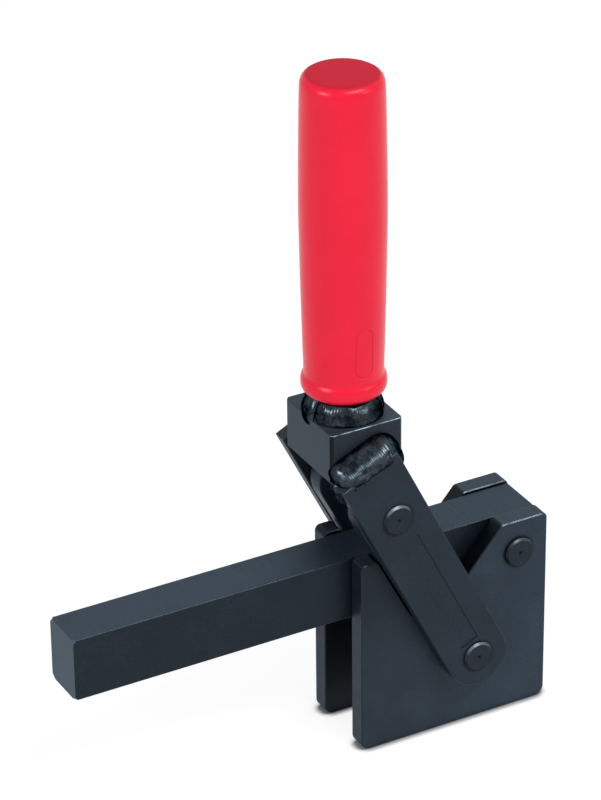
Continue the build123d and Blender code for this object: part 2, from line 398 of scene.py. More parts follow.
@dataclass(frozen=True)
class TurnedSteel:
    """A turned pin, blackened, with lathe rings on its ends, a rubbed bevel with a painted highlight on its upper side
    and painted shade on its lower side, and painted shade in its centre hole.
    """

    name: str
    axis: Point
    dark: Colour = (0.0090, 0.0135, 0.0195)
    light: Colour = (0.0150, 0.0220, 0.0310)
    # colour of the rubbed upper bevel, partly a painted highlight
    worn_and_highlight: Colour = (0.055, 0.070, 0.085)
    sheen: Colour = (0.72, 0.86, 1.0)
    ring_pitch: float = 0.42 * MM
    drill_radius: float = 0.9 * MM

    def build(self) -> bpy.types.Material:
        """Makes the material about the pin's axis, which runs along Y."""
        paint = Paint(self.name)
        place = paint.place()
        centre = {0: place, 1: (self.axis[0], 0.0, self.axis[2])}
        spoke = paint.node("ShaderNodeVectorMath", {"operation": "SUBTRACT"}, centre)
        x, _, z = paint.parts(spoke)
        radius = (x * x + z * z) ** 0.5
        y_facing = paint.facing()[1]
        end = y_facing.ramp(0.85, 0.95)
        bevel = y_facing.ramp(0.35, 0.55) * y_facing.ramp(0.9, 0.8)
        rings = (radius * (math.tau / self.ring_pitch)).math("SINE") * 0.5 + 0.5
        clouds = paint.noise(place, 240.0, 3.0)
        speckle = paint.noise(place, 1500.0, 2.0)
        height = paint.looking_up()
        outer = radius.ramp(self.drill_radius * 2.0, self.drill_radius * 3.0)
        # painted highlight on the upward-facing bevel, on top of rubbing
        wear_and_highlight = bevel * outer * height.ramp(0.25, 0.6) * clouds.ramp(0.2, 0.55)
        # painted shade: the downward-facing bevel is darkened
        soot = bevel * height.ramp(0.1, -0.3) * 0.85
        # painted shade in the centre hole
        drill_shade = radius.ramp(self.drill_radius * 1.25, self.drill_radius) * 0.5
        oxide = paint.blend((clouds * 0.6 + speckle * 0.4).ramp(0.3, 0.75), self.dark, self.light)
        # painted shade: the lower bevel and the centre hole go nearly black
        oxide = paint.blend(soot.math("MAXIMUM", drill_shade), oxide, (0.001, 0.001, 0.001))
        colour = paint.blend(wear_and_highlight * 0.75, oxide, self.worn_and_highlight)
        under = paint.relief(speckle, 0.02 * MM)
        normal = paint.relief(rings * end, 0.012 * MM, under)
        return paint.coat(
            Base_Color=colour,
            Metallic=0.45,
            Roughness=0.4 + clouds * 0.12 - wear_and_highlight * 0.14 + drill_shade * 0.6,
            Specular_IOR_Level=0.25,
            Specular_Tint=(*self.sheen, 1.0),
            Normal=normal,
        )


@dataclass(frozen=True)
class BrightSteel:
    """Plain turned steel of the bushes, sleeves and washers, lightly oiled."""

    name: str
    colour: Colour = (0.10, 0.115, 0.13)
    stained: Colour = (0.05, 0.056, 0.062)

    def build(self) -> bpy.types.Material:
        """Makes the material."""
        paint = Paint(self.name)
        place = paint.place()
        stain = paint.noise(place, 210.0, 4.0)
        turned = paint.noise(paint.scaled(place, (900.0, 6000.0, 900.0)), 1.0, 1.0)
        colour = paint.blend(stain.ramp(0.35, 0.7), self.colour, self.stained)
        return paint.coat(
            Base_Color=colour,
            Metallic=0.85,
            Roughness=0.3 + stain * 0.2,
            Normal=paint.relief(turned, 0.01 * MM),
        )


@dataclass(frozen=True)
class WeldMetal:
    """Blackened weld metal, glossy on its crests and sooty between them."""

    name: str
    crest: Colour = (0.048, 0.062, 0.076)
    soot: Colour = (0.006, 0.009, 0.012)
    sheen: Colour = (0.12, 0.15, 0.18)

    def build(self) -> bpy.types.Material:
        """Makes the material."""
        paint = Paint(self.name)
        place = paint.place()
        clouds = paint.noise(place, 120.0, 3.0, 0.55)
        scale = paint.noise(place, 800.0, 2.0, 0.55)
        colour = paint.blend((clouds * 0.7 + scale * 0.3).ramp(0.38, 0.66), self.soot, self.crest)
        under = paint.relief(scale, 0.02 * MM)
        return paint.coat(
            Base_Color=colour,
            Metallic=1.0,
            Roughness=0.1 + clouds * 0.2,
            Specular_Tint=(*self.sheen, 1.0),
            Normal=paint.relief(clouds, 0.16 * MM, under),
        )


@dataclass(frozen=True)
class MouldedGrip:
    """Satin red plastic with a mottled tone, and painted shade that darkens its upward-facing crown."""

    name: str
    red: Colour = (0.72, 0.0062, 0.034)
    deep: Colour = (0.66, 0.0048, 0.028)
    # colour of the painted shade on the crown
    crown: Colour = (0.40, 0.0045, 0.021)

    def build(self) -> bpy.types.Material:
        """Makes the material."""
        paint = Paint(self.name)
        place = paint.place()
        clouds = paint.noise(place, 30.0, 3.0)
        speckle = paint.noise(place, 1300.0, 2.0)
        skin = paint.noise(place, 3200.0, 1.0)
        colour = paint.blend((clouds * 0.6 + speckle * 0.4).ramp(0.35, 0.7), self.deep, self.red)
        # painted shade: the upward-facing crown is darkened
        top = paint.looking_up().ramp(0.75, 0.97)
        under = paint.relief(clouds, 0.25 * MM)
        return paint.coat(
            Base_Color=paint.blend(top * 0.8, colour, self.crown),
            Roughness=0.25 + speckle * 0.1 + top * 0.35,
            Specular_IOR_Level=0.22,
            Normal=paint.relief(skin, 0.024 * MM, under),
        )


@dataclass(frozen=True)
class WhiteFloor:
    """A white sweep that shows as plain white, keeps a soft shadow and carries a painted contact shadow where the
    clamp stands close.
    """

    name: str
    shade_share: float = 0.2
    white: float = 1.1
    contact_reach: float = 7.0 * MM

    def build(self) -> bpy.types.Material:
        """Makes the material."""
        paint = Paint(self.name)
        path = paint.node("ShaderNodeLightPath", output="Is Camera Ray").socket.node
        rays = [Signal(paint, path.outputs[f"Is {kind} Ray"]) for kind in ("Camera", "Glossy", "Transmission")]
        seen = (rays[0] + rays[1] + rays[2]).math("MINIMUM", 1.0)
        shaded = paint.node("ShaderNodeBsdfDiffuse", inputs={"Color": (0.9, 0.9, 0.9, 1.0)})
        open_sky = paint.node(
            "ShaderNodeAmbientOcclusion", {"samples": 12}, {"Distance": self.contact_reach}, "AO"
        )
        # painted contact shadow: the seen white is darkened where ambient occlusion finds the clamp close by
        tone = paint.blend(open_sky.ramp(0.5, 0.86), (0.06, 0.06, 0.065), (1.0, 1.0, 1.0))
        lit = paint.node("ShaderNodeEmission", inputs={"Color": tone, "Strength": self.white})
        surface = paint.node(
            "ShaderNodeMixShader", inputs={0: seen * (1 - self.shade_share), 1: shaded, 2: lit}
        )
        paint.node("ShaderNodeOutputMaterial", inputs={"Surface": surface})
        return paint.material


class GeometryTree:
    """A Geometry Nodes tree under construction."""

    def __init__(self, name: str, inputs: Iterable[tuple[str, str]]) -> None:
        """Makes the tree with its geometry sockets and named inputs.

        Args:
            name: The tree's name.
            inputs: The name and socket type of each further input.
        """
        self.tree = bpy.data.node_groups.new(name, "GeometryNodeTree")
        face = self.tree.interface
        face.new_socket("Geometry", in_out="INPUT", socket_type="NodeSocketGeometry")
        self.identifiers = {
            label: face.new_socket(label, in_out="INPUT", socket_type=kind).identifier
            for label, kind in inputs
        }
        face.new_socket("Geometry", in_out="OUTPUT", socket_type="NodeSocketGeometry")
        self.start = self.tree.nodes.new("NodeGroupInput")

    def given(self, label: str) -> bpy.types.NodeSocket:
        """The value of a named input."""
        return self.start.outputs[label]

    def node(
        self,
        kind: str,
        settings: dict[str, Any] | None = None,
        inputs: dict[str | int, Any] | None = None,
        output: str | int = 0,
    ) -> bpy.types.NodeSocket:
        """Adds one node, sets it up and fills its sockets.

        Args:
            kind: The node's type.
            settings: Values of the node's own settings, which are set first.
            inputs: Values or sockets for its inputs, by name or place.
            output: The output to read, by name or place.

        Returns:
            The chosen output.
        """
        node = self.tree.nodes.new(kind)
        for key, value in (settings or {}).items():
            setattr(node, key, value)
        for key, value in (inputs or {}).items():
            if isinstance(value, bpy.types.NodeSocket):
                self.tree.links.new(value, node.inputs[key])
            else:
                node.inputs[key].default_value = value
        return node.outputs[output]

    def maths(self, operation: str, *values: Any) -> bpy.types.NodeSocket:
        """Adds a Math node.

        Args:
            operation: The node's operation.
            *values: Its inputs, as sockets or numbers.

        Returns:
            The result.
        """
        return self.node("ShaderNodeMath", {"operation": operation}, dict(enumerate(values)))

    def captured(self, geometry: Any, kind: str, value: Any, domain: str = "POINT") -> tuple[Any, Any]:
        """Stores a value on a geometry before it is changed.

        Args:
            geometry: The geometry that the value is read on.
            kind: The value's type, as the node names it.
            value: The value to store.
            domain: What the value is stored on.

        Returns:
            The geometry and the stored value.
        """
        node = self.tree.nodes.new("GeometryNodeCaptureAttribute")
        node.domain = domain
        node.capture_items.new(kind, "Stored")
        self.tree.links.new(geometry, node.inputs["Geometry"])
        self.tree.links.new(value, node.inputs["Stored"])
        return node.outputs["Geometry"], node.outputs["Stored"]

    def finish(self, geometry: Any, material: Any) -> bpy.types.NodeTree:
        """Ends the tree with plain geometry in one material.

        Args:
            geometry: The geometry to give out.
            material: The input that holds the material.

        Returns:
            The finished tree.
        """
        real = self.node("GeometryNodeRealizeInstances", inputs={0: geometry})
        dressed = self.node("GeometryNodeSetMaterial", inputs={"Geometry": real, "Material": material})
        end = self.tree.nodes.new("NodeGroupOutput")
        self.tree.links.new(dressed, end.inputs[0])
        return self.tree

    def apply(self, source: bpy.types.Object, name: str, values: dict[str, Any]) -> bpy.types.Object:
        """Runs the tree on an object and keeps the result as a plain mesh.

        Args:
            source: The object that the tree starts from, which is removed.
            name: The new piece's name.
            values: The named inputs' values.

        Returns:
            The new piece.
        """
        modifier = source.modifiers.new(self.tree.name, "NODES")
        modifier.node_group = self.tree
        for label, value in values.items():
            modifier[self.identifiers[label]] = value
        view = bpy.context.evaluated_depsgraph_get()
        mesh = bpy.data.meshes.new_from_object(source.evaluated_get(view), depsgraph=view)
        source.modifiers.remove(modifier)
        bpy.data.objects.remove(source)
        return placed(name, mesh)


def placed(name: str, mesh: bpy.types.Mesh) -> bpy.types.Object:
    """Puts a finished mesh in the scene, at the origin.

    Args:
        name: The piece's name.
        mesh: Its mesh.

    Returns:
        The piece.
    """
    mesh.name = name
    piece = bpy.data.objects.new(name, mesh)
    bpy.context.scene.collection.objects.link(piece)
    return piece


def mesh_of(name: str, points: Sequence[Any], faces: Sequence[Sequence[int]]) -> bpy.types.Mesh:
    """Makes a smooth mesh whose faces point outwards.

    Args:
        name: The mesh's name.
        points: Its corners.
        faces: Its faces, as lists of corners.

    Returns:
        The mesh.
    """
    mesh = bpy.data.meshes.new(name)
    mesh.from_pydata([tuple(map(float, point)) for point in points], [], faces)
    mesh.polygons.foreach_set("use_smooth", [True] * len(mesh.polygons))
    mesh.update()
    return mesh


@dataclass
class Bead:
    """One run of weld: the points that its middle follows and its radius at each."""

    points: list[Vector]
    radii: list[float]


@dataclass
class WeldTrees:
    """The trees that lay weld beads and spatter."""

    ripple_pitch: float = 1.05 * MM
    ripple_depth: float = 0.2 * MM
    lump_share: float = 0.085
    ripple_lag: float = 1.9 * MM
    wander: float = 0.15
    drops_per_area: float = 25000.0
    smallest_drop: float = 0.3 * MM
    largest_drop: float = 0.8 * MM
    bead: GeometryTree = field(init=False)
    drops: GeometryTree = field(init=False)

    def __post_init__(self) -> None:
        """Builds both trees."""
        self.bead = self.bead_tree()
        self.drops = self.drop_tree()

    @staticmethod
    def bead_tree() -> GeometryTree:
        """The tree that turns paths into rippled beads.

        Returns:
            The tree. A path point's radius is the bead's radius there.
        """
        tree = GeometryTree("weld_bead", (
            ("Ripple Pitch", "NodeSocketFloat"),
            ("Ripple Depth", "NodeSocketFloat"),
            ("Ripple Lag", "NodeSocketFloat"),
            ("Lump Share", "NodeSocketFloat"),
            ("Wander", "NodeSocketFloat"),
            ("End Taper", "NodeSocketFloat"),
            ("Section", "NodeSocketVector"),
            ("Fullness", "NodeSocketFloat"),
            ("Facing", "NodeSocketVector"),
            ("Seed", "NodeSocketFloat"),
            ("Metal", "NodeSocketMaterial"),
        ))
        step = tree.maths("DIVIDE", tree.given("Ripple Pitch"), 6.0)
        path = tree.node(
            "GeometryNodeResampleCurve",
            {"mode": "LENGTH"},
            {"Curve": tree.given("Geometry"), "Length": step},
        )
        along = tree.node("GeometryNodeSplineParameter", output="Length")
        share = tree.node("GeometryNodeSplineParameter", output="Factor")
        path, run = tree.captured(path, "FLOAT", along)
        here = tree.node("GeometryNodeInputPosition")
        sway = tree.node("ShaderNodeTexNoise", {"noise_dimensions": "4D"}, {
            "Vector": here, "W": tree.given("Seed"), "Scale": 75.0, "Detail": 1.0,
        }, "Fac")
        sway = tree.maths("MULTIPLY_ADD", tree.maths("SUBTRACT", sway, 0.5), tree.given("Wander"), 1.0)
        middle = tree.maths("ABSOLUTE", tree.maths("MULTIPLY_ADD", share, 2.0, -1.0))
        fall = tree.maths("MULTIPLY", tree.maths("POWER", middle, 7.0), tree.given("End Taper"))
        cap = tree.maths("SQRT", tree.maths("MAXIMUM", tree.maths("SUBTRACT", 1.0, fall), 0.02))
        radius = tree.node("GeometryNodeInputRadius")
        path, girth = tree.captured(path, "FLOAT", radius)
        size = tree.maths("MULTIPLY", radius, tree.maths("MULTIPLY", sway, cap))
        ring = tree.node("GeometryNodeCurvePrimitiveCircle", inputs={"Resolution": 48, "Radius": 1.0})
        rim = tree.node("GeometryNodeInputPosition")
        split = tree.node("ShaderNodeSeparateXYZ", inputs={0: rim}).node
        powers = [
            tree.maths("POWER", tree.maths("ABSOLUTE", split.outputs[axis]), tree.given("Fullness"))
            for axis in (0, 1)
        ]
        root = tree.maths("DIVIDE", -1.0, tree.given("Fullness"))
        pull = tree.maths("POWER", tree.maths("ADD", *powers), root)
        drawn = tree.node("ShaderNodeVectorMath", {"operation": "SCALE"}, {0: rim, "Scale": pull})
        ring = tree.node("GeometryNodeSetPosition", inputs={"Geometry": ring, "Position": drawn})
        ring = tree.node("GeometryNodeTransform", inputs={"Geometry": ring, "Scale": tree.given("Section")})
        tube = tree.node("GeometryNodeCurveToMesh", inputs={
            "Curve": path, "Profile Curve": ring, "Scale": size, "Fill Caps": True,
        })
        normal = tree.node("GeometryNodeInputNormal")
        front = tree.node(
            "ShaderNodeVectorMath", {"operation": "DOT_PRODUCT"}, {0: normal, 1: tree.given("Facing")}, "Value"
        )
        late = tree.maths("MULTIPLY", tree.maths("SUBTRACT", 1.0, front), tree.given("Ripple Lag"))
        phase = tree.maths("DIVIDE", tree.maths("ADD", run, late), tree.given("Ripple Pitch"))
        where = tree.node("GeometryNodeInputPosition")
        jitter = tree.node(
            "ShaderNodeTexNoise", None, {"Vector": where, "Scale": 120.0, "Detail": 1.0}, "Fac"
        )
        phase = tree.maths("ADD", phase, tree.maths("MULTIPLY", jitter, 1.4))
        part = tree.maths("FRACT", phase)
        crest = tree.maths("MULTIPLY", tree.maths("MULTIPLY", part, tree.maths("SUBTRACT", 1.0, part)), 4.0)
        patches = tree.node("ShaderNodeTexNoise", None, {"Vector": where, "Scale": 95.0, "Detail": 0.0}, "Fac")
        clear = tree.node("ShaderNodeMapRange", {"interpolation_type": "SMOOTHSTEP"}, {
            "Value": patches, "From Min": 0.4, "From Max": 0.55,
        })
        ripple = tree.maths("MULTIPLY", tree.maths("MULTIPLY", crest, clear), tree.given("Ripple Depth"))
        lump = tree.maths("MULTIPLY", tree.maths("SUBTRACT", jitter, 0.5), tree.given("Lump Share"))
        lump = tree.maths("MULTIPLY", lump, girth)
        lift = tree.maths("ADD", ripple, lump)
        offset = tree.node("ShaderNodeVectorMath", {"operation": "SCALE"}, {0: normal, "Scale": lift})
        bumpy = tree.node("GeometryNodeSetPosition", inputs={"Geometry": tube, "Offset": offset})
        smooth = tree.node("GeometryNodeSetShadeSmooth", inputs={"Geometry": bumpy, "Shade Smooth": True})
        tree.finish(smooth, tree.given("Metal"))
        return tree

    @staticmethod
    def drop_tree() -> GeometryTree:
        """The tree that scatters small drops of weld over a patch.

        Returns:
            The tree.
        """
        tree = GeometryTree("weld_spatter", (
            ("Drops per Area", "NodeSocketFloat"),
            ("Smallest", "NodeSocketFloat"),
            ("Largest", "NodeSocketFloat"),
            ("Seed", "NodeSocketInt"),
            ("Metal", "NodeSocketMaterial"),
        ))
        points = tree.node("GeometryNodeDistributePointsOnFaces", None, {
            "Mesh": tree.given("Geometry"),
            "Density": tree.given("Drops per Area"),
            "Seed": tree.given("Seed"),
        })
        drop = tree.node("GeometryNodeMeshIcoSphere", inputs={"Radius": 1.0, "Subdivisions": 2})
        size = tree.node("FunctionNodeRandomValue", {"data_type": "FLOAT"}, {
            2: tree.given("Smallest"),
            3: tree.given("Largest"),
            "Seed": tree.given("Seed"),
        }, 1)
        drops = tree.node("GeometryNodeInstanceOnPoints", inputs={
            "Points": points, "Instance": drop, "Scale": size,
        })
        tree.finish(drops, tree.given("Metal"))
        return tree

    def scatter(
        self, name: str, patch: Sequence[Vector], metal: bpy.types.Material, seed: int
    ) -> bpy.types.Object:
        """Scatters drops of weld over a flat patch.

        Args:
            name: The new piece's name.
            patch: The patch's corners, in order.
            metal: The drops' material.
            seed: A number that sets where they land.

        Returns:
            The piece.
        """
        mesh = mesh_of(name + "_patch", patch, [tuple(range(len(patch)))])
        return self.drops.apply(placed(name + "_patch", mesh), name, {
            "Drops per Area": self.drops_per_area,
            "Smallest": self.smallest_drop,
            "Largest": self.largest_drop,
            "Seed": seed,
            "Metal": metal,
        })

    def lay(
        self,
        name: str,
        beads: Sequence[Bead],
        section: tuple[float, float, float],
        facing: Vector,
        metal: bpy.types.Material,
        seed: float,
    ) -> bpy.types.Object:
        """Lays beads along their paths.

        Args:
            name: The new piece's name.
            beads: The runs of weld.
            section: The shares of the radius that a bead reaches along its section's two axes, and
                how full its face is: 1 for a flat one and 2 for a round one.
            facing: The direction in which the beads' crests look.
            metal: Their material.
            seed: A number that sets how the beads sway.

        Returns:
            The piece.
        """
        curve = bpy.data.curves.new(name, "CURVE")
        curve.dimensions = "3D"
        for bead in beads:
            spline = curve.splines.new("POLY")
            spline.points.add(len(bead.points) - 1)
            for point, at, radius in zip(spline.points, bead.points, bead.radii):
                point.co = (*at, 1.0)
                point.radius = radius
        path = bpy.data.objects.new(name + "_path", curve)
        bpy.context.scene.collection.objects.link(path)
        return self.bead.apply(path, name, {
            "Ripple Pitch": self.ripple_pitch,
            "Ripple Depth": self.ripple_depth,
            "Ripple Lag": self.ripple_lag,
            "Lump Share": self.lump_share,
            "Wander": self.wander,
            "End Taper": 1.0,
            "Section": (section[0], section[1], 1.0),
            "Fullness": section[2],
            "Facing": tuple(facing),
            "Seed": seed,
            "Metal": metal,
        })


@dataclass
class HandGrip:
    """The moulded grip: a rounded collar, a long swelling, a soft crown and a plain capsule groove."""

    collar: tuple[tuple[float, float], ...] = (
        (0.0, 17.8), (0.35, 19.3), (1.2, 20.2), (2.4, 20.75), (3.5, 20.9), (5.2, 20.85), (6.6, 20.65),
        (7.6, 20.25), (8.3, 19.78), (8.9, 19.5), (9.6, 19.42), (10.6, 19.4),
    )
    sides: tuple[tuple[float, float], ...] = (
        (25.0, 19.75), (45.0, 20.2), (66.0, 20.6), (98.0, 21.02), (124.0, 20.75), (150.0, 20.3), (157.0, 20.1),
    )
    crown: tuple[tuple[float, float], ...] = (
        (160.2, 19.85), (161.9, 19.3), (163.2, 18.3), (164.0, 17.0), (164.25, 15.8),
        (164.35, 14.5), (164.5, 9.0), (164.6, 3.0),
    )
    bore_radius: float = 13.5 * MM
    bore_end: float = 10.0 * MM
    columns: int = 150
    groove_half_width: float = 8.9 / 2 * MM
    groove_half_length: float = 25.6 / 2 * MM
    groove_breadth: float = 0.62 * MM
    groove_depth: float = 0.42 * MM
    groove_height: float = 26.4 * MM
    groove_turn: float = -89.0

    def radius_rows(self) -> tuple[np.ndarray, np.ndarray]:
        """The outline as rows of height and radius, with fine rows across the groove.

        Returns:
            Heights over the foot and radii, in metres.
        """
        rows = np.array(self.collar + self.sides + self.crown)
        low = self.groove_height - self.groove_half_length - 1.5 * MM
        high = self.groove_height + self.groove_half_length + 1.5 * MM
        fine = np.arange(low, high, 0.28 * MM) / MM
        coarse = np.arange(14.0, 160.0, 4.0)
        coarse = coarse[(coarse < low / MM) | (coarse > high / MM)]
        body = rows[rows[:, 0] <= 160.2]
        heights = np.unique(np.concatenate([rows[:, 0], fine, coarse]))
        smooth = self.curve_through(body[:, 0], body[:, 1], heights[heights <= 160.2])
        top = np.interp(heights[heights > 160.2], rows[:, 0], rows[:, 1])
        return heights * MM, np.concatenate([smooth, top]) * MM

    @staticmethod
    def curve_through(x: np.ndarray, y: np.ndarray, at: np.ndarray) -> np.ndarray:
        """A smooth curve through points, with no overshoot.

        Args:
            x: The points' places, rising.
            y: Their values.
            at: Where the curve is read.

        Returns:
            The curve's values.
        """
        steps = np.diff(y) / np.diff(x)
        same = steps[:-1] * steps[1:] > 0
        inner = np.where(same, 2 * steps[:-1] * steps[1:] / np.where(same, steps[:-1] + steps[1:], 1.0), 0.0)
        slope = np.concatenate([[steps[0]], inner, [steps[-1]]])
        index = np.clip(np.searchsorted(x, at, side="right") - 1, 0, len(x) - 2)
        width = x[index + 1] - x[index]
        t = (at - x[index]) / width
        start = (2 * t**3 - 3 * t**2 + 1) * y[index] + (t**3 - 2 * t**2 + t) * width * slope[index]
        end = (3 * t**2 - 2 * t**3) * y[index + 1] + (t**3 - t**2) * width * slope[index + 1]
        return start + end

    def groove(self, angle: np.ndarray, height: np.ndarray, radius: np.ndarray) -> np.ndarray:
        """How deep the capsule's outline is cut at points of the surface.

        Args:
            angle: The points' angles about the axis, in radians.
            height: Their heights over the foot.
            radius: The grip's radius there.

        Returns:
            The depth of the cut, in metres.
        """
        turn = (angle - math.radians(self.groove_turn) + math.pi) % math.tau - math.pi
        straight = self.groove_half_length - self.groove_half_width
        beyond = np.maximum(np.abs(height - self.groove_height) - straight, 0.0)
        reach = np.hypot(turn * radius, beyond)
        off = (reach - self.groove_half_width) / (self.groove_breadth / 2)
        return self.groove_depth * np.exp(-off * off)

    def build(self, finish: bpy.types.Material) -> bpy.types.Object:
        """Makes the grip over its solid.

        Args:
            finish: The plastic's material.

        Returns:
            The piece.
        """
        low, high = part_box("hand_grip")
        axis = (low + high) / 2
        heights, radii = self.radius_rows()
        coarse = np.linspace(0.0, math.tau, self.columns, endpoint=False)
        half = self.groove_half_width / (19.6 * MM) + 0.06
        centre = math.radians(self.groove_turn) % math.tau
        near = np.abs((coarse - centre + math.pi) % math.tau - math.pi) < half
        fine = np.linspace(centre - half, centre + half, 66) % math.tau
        angles = np.sort(np.concatenate([coarse[~near], fine]))
        angle, height = np.meshgrid(angles, heights)
        radius = np.repeat(radii[:, None], len(angles), axis=1)
        radius = radius - self.groove(angle, height, radius)
        rings = [np.stack([radius * np.cos(angle), radius * np.sin(angle), height], 2)]
        inside = ((self.bore_radius, heights[-1] - self.bore_end), (self.bore_radius, 0.0))
        wall = [np.stack([r * np.cos(angles), r * np.sin(angles), np.full(len(angles), z)], 1) for r, z in inside]
        grid = np.concatenate([np.stack(wall), rings[0]])
        count = len(angles)
        points = grid.reshape(-1, 3) + np.array([axis.x, axis.y, low.z])
        faces = []
        for row in range(len(grid) - 1):
            for column in range(count):
                after = (column + 1) % count
                start = row * count
                faces.append((start + column, start + after, start + count + after, start + count + column))
        bottom = len(points)
        caps = [(axis.x, axis.y, low.z + inside[0][1]), (axis.x, axis.y, low.z + heights[-1])]
        points = np.concatenate([points, np.array(caps)])
        last = (len(grid) - 1) * count
        for column in range(count):
            after = (column + 1) % count
            faces.append((bottom, after, column))
            faces.append((bottom + 1, last + column, last + after))
        piece = placed("hand_grip_moulding", mesh_of("hand_grip_moulding", points, faces))
        piece.data.materials.append(finish)
        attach(piece, "handle")
        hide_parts("hand_grip")
        return piece


@dataclass
class HandleWelds:
    """The weld round the grip's pipe and the welds that hold the block between the handle plates."""

    trees: WeldTrees
    ring_height: float = 10.4 * MM
    ring_section: tuple[float, float, float] = (0.66, 1.0, 1.75)
    front_share: tuple[float, float] = (0.97, 0.5)
    front_start: tuple[float, float] = (0.4 * MM, 4.0 * MM)
    ring_runs: tuple[tuple[float, float, float, float], ...] = (
        (184.0, 332.0, 1.2, 0.97), (318.0, 448.0, 0.95, 0.95), (66.0, 198.0, 0.95, 1.12),
    )
    top_reach: float = 10.2 * MM
    plate_section: tuple[float, float, float] = (1.21, 1.0, 1.55)
    rear_radius: float = 5.2 * MM
    rear_run: float = 16.5 * MM
    corner_radius: float = 2.4 * MM
    corner_run: float = 13.0 * MM
    plate_width: float = 33.0 * MM
    lean: float = 26.55

    def build(self, metal: bpy.types.Material) -> list[bpy.types.Object]:
        """Lays every weld of the lever.

        Args:
            metal: The welds' material.

        Returns:
            The pieces.
        """
        pieces = [self.ring(metal)]
        pieces += [self.plate(side, metal) for side in (-1, 1)]
        return pieces

    def ring(self, metal: bpy.types.Material) -> bpy.types.Object:
        """The weld round the foot of the pipe.

        Args:
            metal: Its material.

        Returns:
            The piece.
        """
        low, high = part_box("grip_pipe")
        middle = Vector(((low.x + high.x) / 2, 0.0, low.z))
        radius = (high.x - low.x) / 2
        beads = []
        for first, last, first_share, last_share in self.ring_runs:
            turns = np.radians(np.linspace(first, last, 60))
            points = [middle + Vector((math.cos(t), math.sin(t), 0.0)) * radius for t in turns]
            shares = np.linspace(first_share, last_share, len(points))
            beads.append(Bead(points, list(self.ring_height * shares)))
        upwards = Vector((0.0, 0.0, 1.0))
        piece = self.trees.lay("ring_weld_bead", beads, self.ring_section, upwards, metal, 4.0)
        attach(piece, "handle")
        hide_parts("ring_weld")
        return piece

    @staticmethod
    def smooth_path(stops: Sequence[tuple[Vector, float]], steps: int = 10) -> list[tuple[Vector, float]]:
        """Runs a smooth curve through points that each have a radius.

        Args:
            stops: The points and radii to pass through.
            steps: The pieces between two of them.

        Returns:
            The curve's points and radii.
        """
        rows = np.array([[*point, radius] for point, radius in stops])
        padded = np.vstack([2 * rows[0] - rows[1], rows, 2 * rows[-1] - rows[-2]])
        path = []
        for before, first, second, after in zip(padded, padded[1:], padded[2:], padded[3:]):
            for t in np.linspace(0.0, 1.0, steps, endpoint=False):
                bend = 2 * before - 5 * first + 4 * second - after
                twist = 3 * first - before - 3 * second + after
                path.append(0.5 * (2 * first + (second - before) * t + bend * t**2 + twist * t**3))
        path.append(rows[-1])
        return [(Vector(row[:3]), float(row[3])) for row in path]

    def plate(self, side: int, metal: bpy.types.Material) -> bpy.types.Object:
        """The weld that joins one handle plate to the block, round three sides of the plate's end.

        Args:
            side: -1 for the left plate and 1 for the right one.
            metal: Their material.

        Returns:
            The piece.
        """
        word = "left" if side < 0 else "right"
        plate_low, plate_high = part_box(f"handle_plate_{word}")
        block_low, block_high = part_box("handle_block")
        up = Vector((-math.sin(math.radians(self.lean)), 0.0, math.cos(math.radians(self.lean))))
        level = Vector((up.z, 0.0, -up.x))
        across = Vector((0.0, side, 0.0))
        front_corner = Vector((plate_low.x, 0.0, plate_high.z - self.plate_width * level.z))
        front_corner += across * block_high.y
        rear_corner = front_corner + level * self.plate_width
        first = self.front_share[0] if side < 0 else self.front_share[1]
        start = self.front_start[0] if side < 0 else self.front_start[1]
        inset = across * 2.6 * MM
        reach = self.top_reach
        top_run = self.smooth_path([
            (front_corner + level * start - up * 0.6 * MM, reach * first),
            (front_corner + level * (start + 4.0 * MM) - up * 0.6 * MM, reach * (first + 0.03)),
            (front_corner + level * 12.0 * MM - up * 0.9 * MM, reach),
            (front_corner + level * 22.0 * MM - up * 1.5 * MM, reach),
            (rear_corner - level * 4.5 * MM - up * 2.3 * MM, reach * 0.98),
            (rear_corner - level * 1.4 * MM - up * 5.0 * MM, self.rear_radius * 1.4),
            (rear_corner - up * 9.0 * MM, self.rear_radius),
            (rear_corner - up * self.rear_run, self.rear_radius * 0.9),
        ])
        corner_run = self.smooth_path([
            (front_corner + inset + level * 1.5 * MM + up * 1.0 * MM, self.corner_radius),
            (front_corner + inset - up * 5.0 * MM, self.corner_radius),
            (front_corner + inset - up * self.corner_run, self.corner_radius * 0.8),
        ])
        beads = [
            Bead([point for point, _ in path], [size for _, size in path])
            for path in ((top_run, corner_run) if side < 0 else (top_run,))
        ]
        name = f"plate_weld_{word}_bead"
        piece = self.trees.lay(name, beads, self.plate_section, across, metal, 7.0 + side)
        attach(piece, "handle")
        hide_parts(f"plate_weld_{word}")
        outside = across * (plate_high.y - plate_low.y + abs(plate_low.y if side > 0 else plate_high.y) - block_high.y)
        edge = front_corner + outside
        patch = [
            edge + level * 2.0 * MM,
            edge + level * 31.0 * MM,
            edge + level * 31.0 * MM - up * 4.0 * MM,
            edge + level * 2.0 * MM - up * 4.0 * MM,
        ]
        drops = self.trees.scatter(f"plate_weld_{word}_drops", patch, metal, 3 + side)
        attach(drops, "handle")
        return piece


